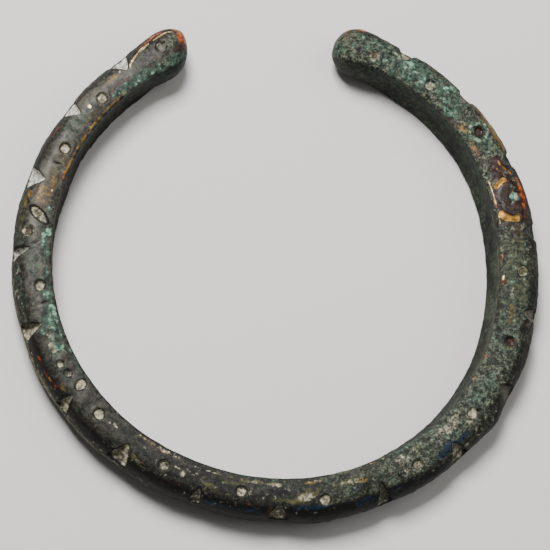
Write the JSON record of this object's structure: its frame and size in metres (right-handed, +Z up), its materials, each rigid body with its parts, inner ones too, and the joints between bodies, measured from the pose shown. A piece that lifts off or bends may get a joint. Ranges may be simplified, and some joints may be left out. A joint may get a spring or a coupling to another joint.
{
  "type": "bronze bracelet",
  "caption": "Old open bronze bracelet, solid and D-shaped in section, with drilled pits and shield-shaped chips along its upper face, lying flat.",
  "frame": {"origin": "middle of the bracelet's footprint, on the surface that it lies on", "axes": "+Z up, square to the ring's plane; the gap between the terminals faces +Y; +X to the right as the picture shows it"},
  "size_m": [0.0712, 0.0678, 0.0065],
  "materials": {
    "bronze": "dark brown-black patina, smooth where the old skin is whole and granular green where it is corroded, with bright metal worn through at edges"
  },
  "bodies": {
    "root": {"bracelet": "bronze"}
  },
  "joints": []
}
